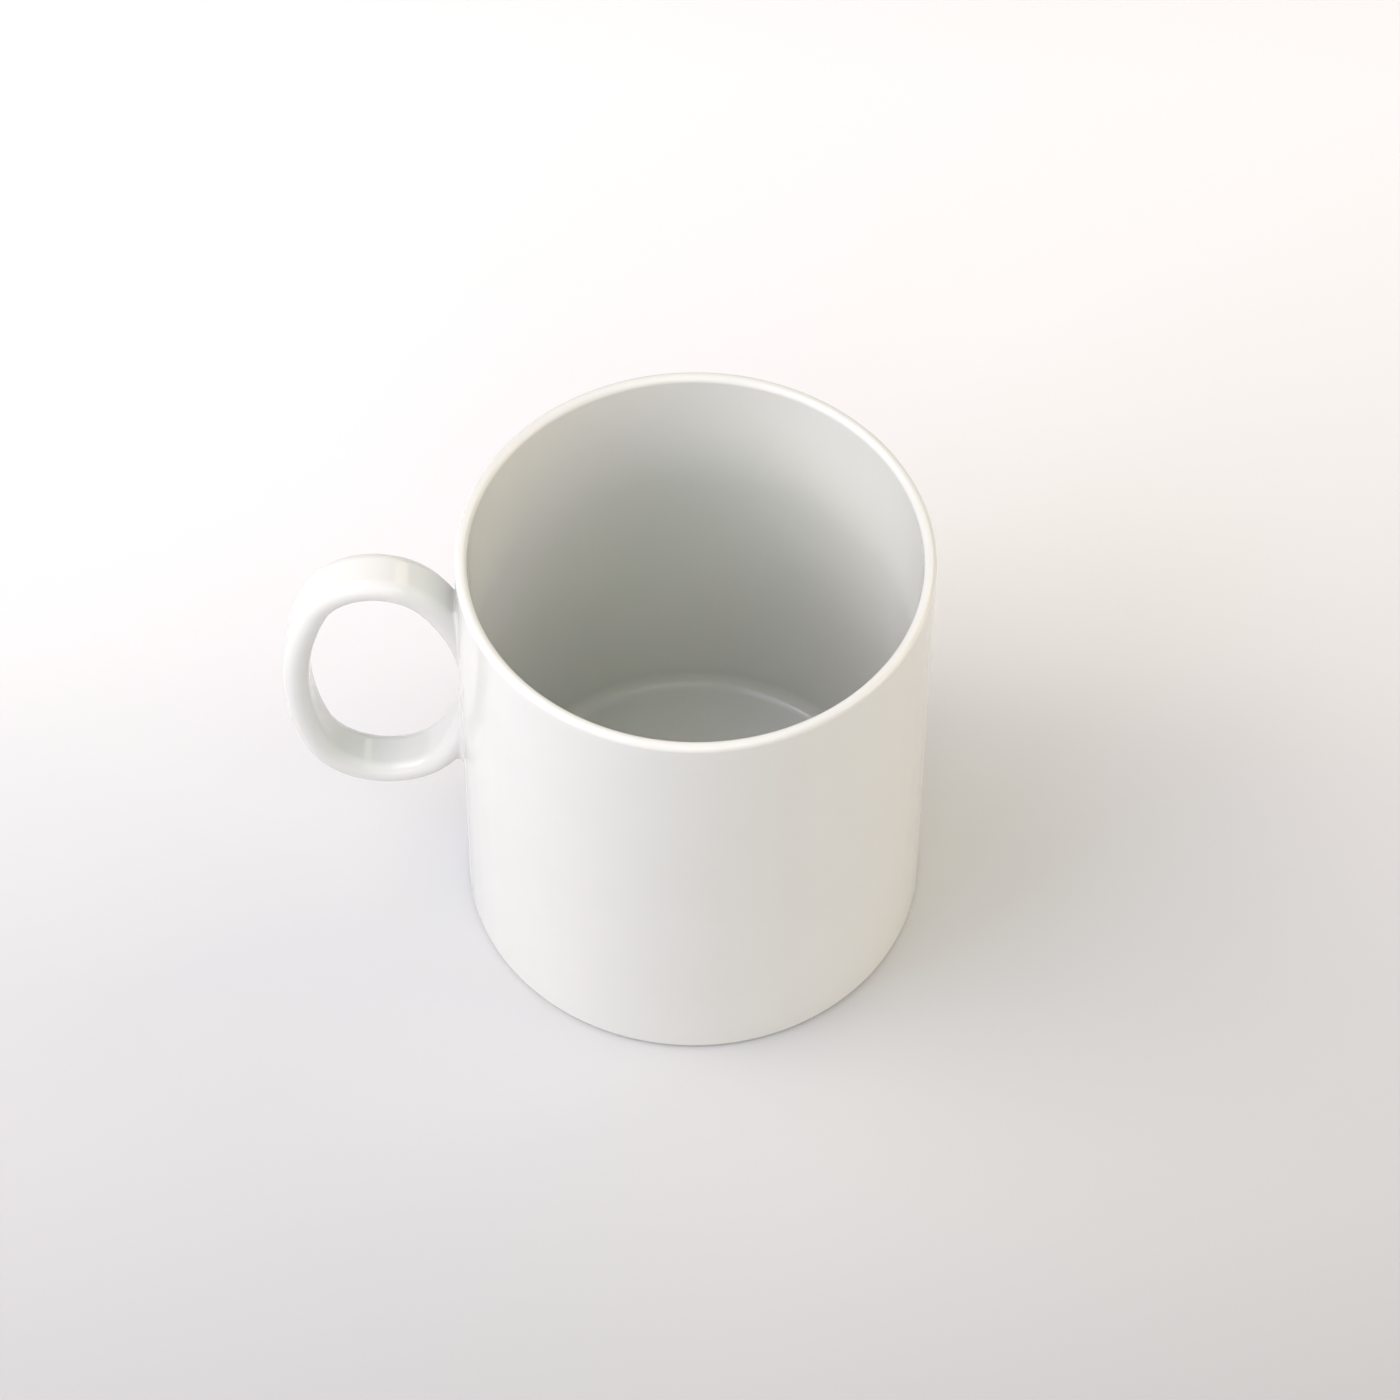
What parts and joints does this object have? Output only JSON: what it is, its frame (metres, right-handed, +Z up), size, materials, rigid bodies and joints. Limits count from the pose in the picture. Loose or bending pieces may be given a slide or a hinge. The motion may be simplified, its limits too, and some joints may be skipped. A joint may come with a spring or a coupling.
{
  "type": "ceramic mug",
  "caption": "Straight-walled white porcelain mug with a rounded lip, a strap handle luted to its side and an unglazed foot ring.",
  "frame": {"origin": "centre of the foot, on the surface the mug stands on, on the cup's axis", "axes": "+Z up along the cup's axis; the handle stands out along -X; +Y completes the right-handed frame"},
  "size_m": [0.1155, 0.084, 0.0924],
  "materials": {
    "porcelain_body": "matte bisque",
    "slip": "matte bisque",
    "white_glaze": "gloss"
  },
  "bodies": {
    "root": {"cup_body": "porcelain_body", "handle": "porcelain_body", "upper_slip_joint": "slip", "lower_slip_joint": "slip", "cup_glaze": "white_glaze", "handle_glaze": "white_glaze", "foot_recess_glaze": "white_glaze"}
  },
  "joints": []
}
